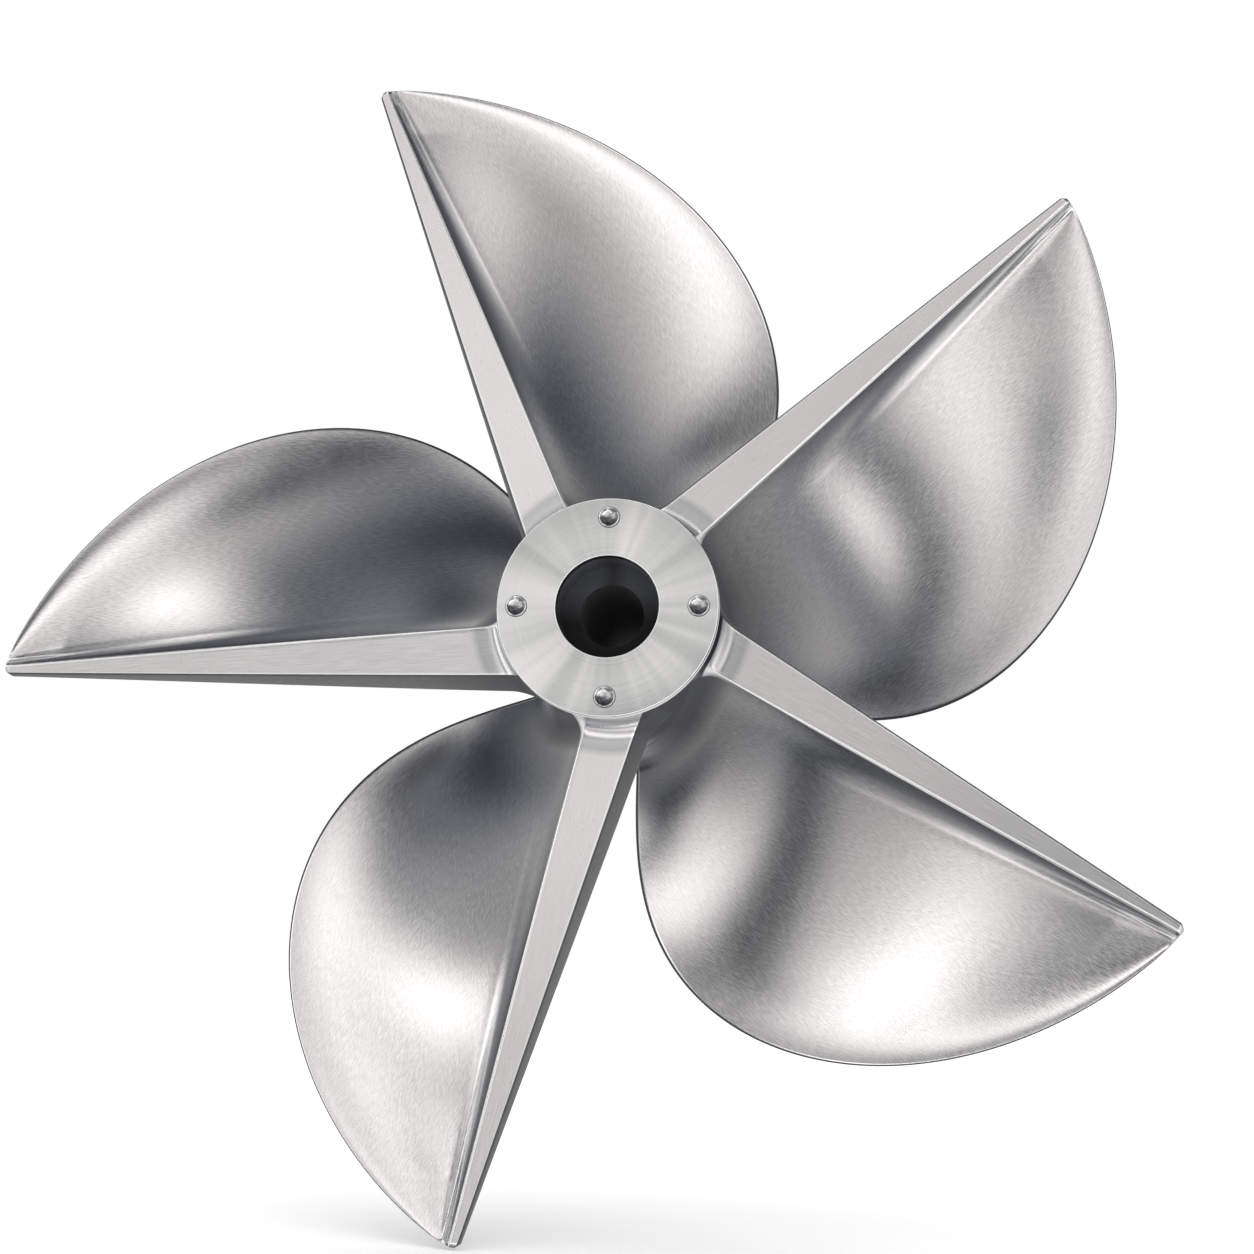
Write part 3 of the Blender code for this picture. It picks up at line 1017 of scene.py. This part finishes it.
# Painted shade in the bore: dark below, with painted light above and to the sides, and the step's
# face.
def boreColor(tree, x, y, z, patches):
    ragged, low, high = casting["boreAbove"]
    above = ramp(z + ragged * patches, low, high)
    ragged, low, high = casting["boreAside"]
    aside = ramp(x.math("ABSOLUTE") + ragged * patches, low, high)
    boreLight = above * atLeast(casting["boreLeast"], aside)
    boreShading = mixColor(tree, boreLight, casting["boreDark"], casting["boreLit"])
    step = hub["recessDepth"] - hub["length"]
    deep = ramp(y, *(step + off for off in casting["stepRise"]))
    return mixColor(tree, deep, boreShading, casting["boreDeep"])


# Turned outside, a faced forward end, and a bore with painted shade.
#
# The colour runs from dull to bright with patches and turning marks. Over it come the
# painted shade between the roots, the painted light on the band's underside under the plate,
# the forward end and the bore's painted shade. Metallic is 1 less the bore and the matte skin
# between the roots, which add to the roughness.
def hubSteel():
    material, tree, shader = newMaterial("hubCasting", {"Metallic": 1.0})
    place, (x, y, z) = splitPlace(tree)
    radius = (x * x + z * z) ** 0.5
    bore = 1 - ramp(radius, *(hub["recessRadius"] + off for off in casting["boreRim"]))
    bore = bore * (1 - ramp(y, *casting["boreEnd"]))
    patches = noise(tree, place, casting["patchScale"], 3.0)
    turning = noise(tree, stretched(tree, place, casting["turning"]), 1.0, 3.0)
    share = casting["turningShare"]
    tone = ramp(patches * (1 - share) + turning * share, *casting["toneRange"])
    color = mixColor(tree, tone, casting["dull"], casting["bright"])
    # painted shade between the blade roots
    between = (1 - ramp(y, *casting["shadedRange"])) * (1 - bore)
    # painted light on the band under the plate, where it faces down
    under = 1 - ramp(y, *(off - hub["length"] for off in casting["bandEnd"]))
    low = underside(z, radius, *casting["bandLow"]) * under
    lean, rings = ringLean(tree, *turnedAxes(tree, x, z, radius))
    faced = ramp(y, *casting["faceStart"])
    share = casting["ringShare"]
    tone = ramp(rings * share + patches * (1 - share), *casting["faceRange"])
    color = layered(
        tree, color,
        (between * casting["shadedMix"], casting["shaded"]),
        (low * atLeast(casting["bandLeast"], turning), casting["band"]),
        (faced, mixColor(tree, tone, casting["faceDull"], casting["faceBright"])),
        (bore, boreColor(tree, x, y, z, patches)))
    connect(tree, color, shader, "Base Color")

    scale = between * (1 - low) * casting["scale"]
    connect(tree, 1 - bore - scale, shader, "Metallic")
    rough = casting["roughness"] + casting["roughVaries"] * patches
    rough = rough + casting["boreRough"] * bore + casting["scaleRough"] * scale
    connect(tree, rough, shader, "Roughness")
    bump = addNode(tree, "ShaderNodeBump", None, {
        "Strength": 0.6, "Distance": casting["grooveDepth"], "Height": turning * (1 - faced)})
    lean = vectorMath(tree, "SCALE", {"Vector": lean, "Scale": faced})
    connect(tree, addNormal(tree, bump, lean), shader, "Normal")
    return material


polish = {
    "bright": (0.86, 0.86, 0.86),
    "dull": (0.46, 0.46, 0.47),
    # painted shade below the middle of a dome
    "dark": (0.05, 0.052, 0.056),
    "glint": (0.98, 0.98, 0.98),
    "roughness": 0.24,
    "roughVaries": 0.06,
    "markScale": 500.0,
    "markShift": 0.20,  # the rest in head radii from the middle of a dome
    "toneRange": (-0.2, 0.7),
    "darkRange": (-0.30, 0.10),
    "darkTilt": 0.25,
    "darkMix": 0.9,
    "ringRange": (0.86, 0.93),
    "domeRimHighlightMix": 0.8,
    "glintPlace": (0.32, 0.30),  # to the left and up
    "glintRange": (0.18, 0.42),
}


# Polished domes with painted shade below the middle, painted highlights high on the left and
# round the rim, and lighter upwards.
#
# A screw lies at plus or minus the circle on one axis, so the distance from it along an
# axis is the coordinate, less circle * sign beyond half the circle.
def screwSteel():
    material, tree, shader = newMaterial("polishedDome", {"Metallic": 1.0})
    place, (x, _, z) = splitPlace(tree)
    marks = noise(tree, place, polish["markScale"], 2.0)
    half = dome["circle"] / 2.0
    fromCentre = []
    for axis in (x, z):
        outside = ramp(axis.math("ABSOLUTE"), half, half + 0.001)
        fromCentre.append(axis - dome["circle"] * axis.math("SIGN") * outside)
    across, up = (side / dome["headRadius"] + polish["markShift"] * (marks - 0.5)
                  for side in fromCentre)
    off = (across * across + up * up) ** 0.5
    # painted shade below the middle of the dome
    below = 1 - ramp(up + polish["darkTilt"] * across, *polish["darkRange"])
    # painted highlight round the rim
    ring = ramp(off, *polish["ringRange"])
    # painted highlight high on the left
    aside, above = across + polish["glintPlace"][0], up - polish["glintPlace"][1]
    glint = 1 - ramp((aside * aside + above * above) ** 0.5, *polish["glintRange"])
    connect(tree, polish["roughness"] + polish["roughVaries"] * marks, shader, "Roughness")
    # lighter upwards: painted light on the dome
    color = mixColor(tree, ramp(up, *polish["toneRange"]), polish["dull"], polish["bright"])
    color = layered(tree, color, (below * polish["darkMix"], polish["dark"]),
                    (glint + ring * polish["domeRimHighlightMix"], polish["glint"]))
    connect(tree, color, shader, "Base Color")
    return material


ground = {
    "dull": (0.93, 0.93, 0.93),
    "bright": (0.95, 0.95, 0.95),
    "patchScale": 3.0,
    "roughness": 0.9,
    "glow": 0.13,
    "below": 0.0005,  # under the lowest blade tip
    "halfSize": 30.0,
}


# Near-white floor with a little light of its own, so shadows on it stay faint.
def floorPaint():
    material, tree, shader = newMaterial("paleFloor", {
        "Roughness": ground["roughness"], "Specular IOR Level": 0.0,
        "Emission Color": (1.0,) * 4, "Emission Strength": ground["glow"]})
    place, _ = splitPlace(tree)
    patches = noise(tree, place, ground["patchScale"])
    connect(tree, mixColor(tree, patches, ground["dull"], ground["bright"]), shader, "Base Color")
    return material


# A wide square floor that the lowest blade tip stands on.
def makeFloor():
    low = cadBox[0][2] - ground["below"]
    size = ground["halfSize"]
    mesh = bpy.data.meshes.new("floor")
    corners = [(-size, -size, low), (size, -size, low), (size, size, low), (-size, size, low)]
    mesh.from_pydata(corners, [], [(0, 1, 2, 3)])
    mesh.materials.append(floorPaint())
    floor = bpy.data.objects.new("floor", mesh)
    bpy.context.scene.collection.objects.link(floor)
    floor.visible_glossy = False
    floor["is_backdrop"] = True


studio = {
    "ambient": 0.311,
    "background": 1.0,
    "spread": 0.45,  # light on the floor: even share, and share that grows overhead
    "overhead": 1.0,
    "darkest": 0.065,
    "boxDepth": 0.625,
    "cool": (0.78, 0.87, 1.04),  # unlit studio
    "neutral": (1.0, 0.993, 0.985),
    "coolRange": (0.08, 0.5),
    # azimuth, elevation, turn, half width, half length, strength, below 0 for a dark card
    "boxes": [
        (11.8, 47.1, 125, 0.40, 0.08, 2.41),
        (52.0, -61.4, 114, 0.09, 0.42, 2.41),
        (9.4, -25.3, 7, 1.11, 0.60, 2.41),
        (-50.3, -3.7, 175, 0.10, 0.57, 2.40),
        (-75.7, 27.5, 50, 0.68, 0.08, 2.40),
        (-57.8, 70.5, 84, 0.08, 0.23, 2.15),
        (-62.9, 27.5, 55, 1.11, 0.31, 1.90),
        (53.3, 35.3, 27, 0.60, 0.10, 0.90),
        (-130.1, -6.0, 149, 0.23, 1.11, 0.80),
        (164.0, 7.1, 170, 0.84, 1.10, 0.75),
        (102.4, 44.6, 25, 0.47, 1.05, -0.39),
        (-171.6, 53.9, 27, 0.16, 0.42, -0.46),
        (-116.0, 21.0, 169, 0.37, 1.11, -0.51),
        (-34.1, -48.5, 60, 0.49, 0.13, -0.63),
        (-56.3, 0.7, 111, 0.39, 0.09, -0.93),
        (-3.9, 59.0, 68, 0.10, 0.63, -1.29),
        (-0.8, -6.5, 109, 0.19, 0.50, -1.78),
        (17.0, -60.3, 173, 0.71, 0.20, -1.88),
        (20.3, 28.4, 96, 0.08, 0.13, -2.03),
        (-65.4, 36.9, 133, 0.16, 0.43, -2.09),
        (-60.2, 4.8, 147, 0.09, 1.02, -2.17),
        (-71.8, 66.5, 9, 0.11, 0.08, -2.19),
        (-89.3, 6.8, 38, 0.34, 0.09, -2.22),
        (12.4, -35.3, 7, 0.48, 0.12, -2.30),
        (-42.8, -3.6, 8, 0.08, 0.40, -2.40),
        (41.5, -19.2, 105, 0.10, 0.51, -2.42),
    ],
}


# A soft-edged panel: strength * exp(-(u^2 + v^2 + w^2)), with u and v the distances across
# and along it in its own half sizes, and w how far a direction turns away from it.
def softBox(tree, direction, azimuth, elevation, turn, width, length, strength):
    azimuth, elevation, turn = (math.radians(angle) for angle in (azimuth, elevation, turn))
    aim = Vector((math.sin(azimuth) * math.cos(elevation),
                  -math.cos(azimuth) * math.cos(elevation),
                  math.sin(elevation)))
    side = Vector((math.cos(azimuth), math.sin(azimuth), 0.0))
    up = aim.cross(side)
    across = side * math.cos(turn) + up * math.sin(turn)
    along = up * math.cos(turn) - side * math.sin(turn)
    local = addNode(tree, "ShaderNodeMapping", {"vector_type": "TEXTURE"}, {
        "Vector": direction, "Location": aim,
        "Rotation": Matrix((across, along, aim)).transposed().to_euler(),
        "Scale": (width, length, studio["boxDepth"])})
    squared = vectorMath(tree, "DOT_PRODUCT", [local, local], "Value")
    fall = addNode(tree, "ShaderNodeMath", {"operation": "POWER"}, [math.exp(-1.0), squared])
    return fall * strength


# Plain white behind the part, and soft boxes that only the metal reflects.
#
# Level = boxes + ambient for reflections, background for what the camera sees, and
# spread + overhead * height of the direction for what lights the floor.
def makeWorld():
    world = bpy.data.worlds.new("studio")
    bpy.context.scene.world = world
    world.use_nodes = True
    tree = world.node_tree
    direction = addNode(tree, "ShaderNodeTexCoord", output="Generated")
    glow = studio["ambient"]
    for box in studio["boxes"]:
        glow = softBox(tree, direction, *box) + glow
    glow = glow.math("MAXIMUM", studio["darkest"])
    seen = addNode(tree, "ShaderNodeLightPath", output="Is Camera Ray")
    spread = addNode(tree, "ShaderNodeLightPath", output="Is Diffuse Ray")
    above = addNode(tree, "ShaderNodeSeparateXYZ", None, [direction], 2).math("MAXIMUM", 0.0)
    soft = above * studio["overhead"] + studio["spread"]
    level = glow * (1 - seen - spread) + seen * studio["background"] + spread * soft
    plain = seen.math("MAXIMUM", spread)
    color = mixColor(tree, ramp(glow, *studio["coolRange"]), studio["cool"], studio["neutral"])
    color = mixColor(tree, plain, color, (1.0, 1.0, 1.0))
    background = tree.nodes["Background"]
    tree.links.new(color.socket, background.inputs["Color"])
    tree.links.new(level.socket, background.inputs["Strength"])
    world.cycles.sampling_method = "NONE"   # this soft light needs no aimed rays
    bpy.context.scene.view_settings.view_transform = "Standard"
    print("studio:", len(studio["boxes"]), "boxes and cards")


camera = {
    "place": (0.1401, -1.3154, -0.2454),
    "target": (0.0140, -0.2500, -0.0145),
    "roll": 1.36,
    "lens": 47.0,
    "sensor": 36.0,
}


# The camera looks along its own -Z from place to target, level but for the roll.
def makeCamera():
    data = bpy.data.cameras.new("camera")
    data.sensor_width = camera["sensor"]
    data.lens = camera["lens"]
    item = bpy.data.objects.new("camera", data)
    place = Vector(camera["place"])
    back = (place - Vector(camera["target"])).normalized()
    right = Vector((0.0, 0.0, 1.0)).cross(back).normalized()
    turn = Matrix((right, back.cross(right), back)).transposed().to_4x4()
    roll = Matrix.Rotation(math.radians(camera["roll"]), 4, "Z")
    item.matrix_world = Matrix.Translation(place) @ turn @ roll
    bpy.context.scene.collection.objects.link(item)
    bpy.context.scene.camera = item


def main():
    makeHub(hubSteel())
    makePlate(turnedSteel())
    makeScrews(screwSteel())
    print("hub, plate and screws made")
    makeBlades(bladeSteel())
    makeFloor()
    makeWorld()
    makeCamera()
    print("stage ready")
    boxes = {"cad": cadBox, "scene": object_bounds()}
    boxes = {key: [list(map(float, corner)) for corner in box] for key, box in boxes.items()}


main()
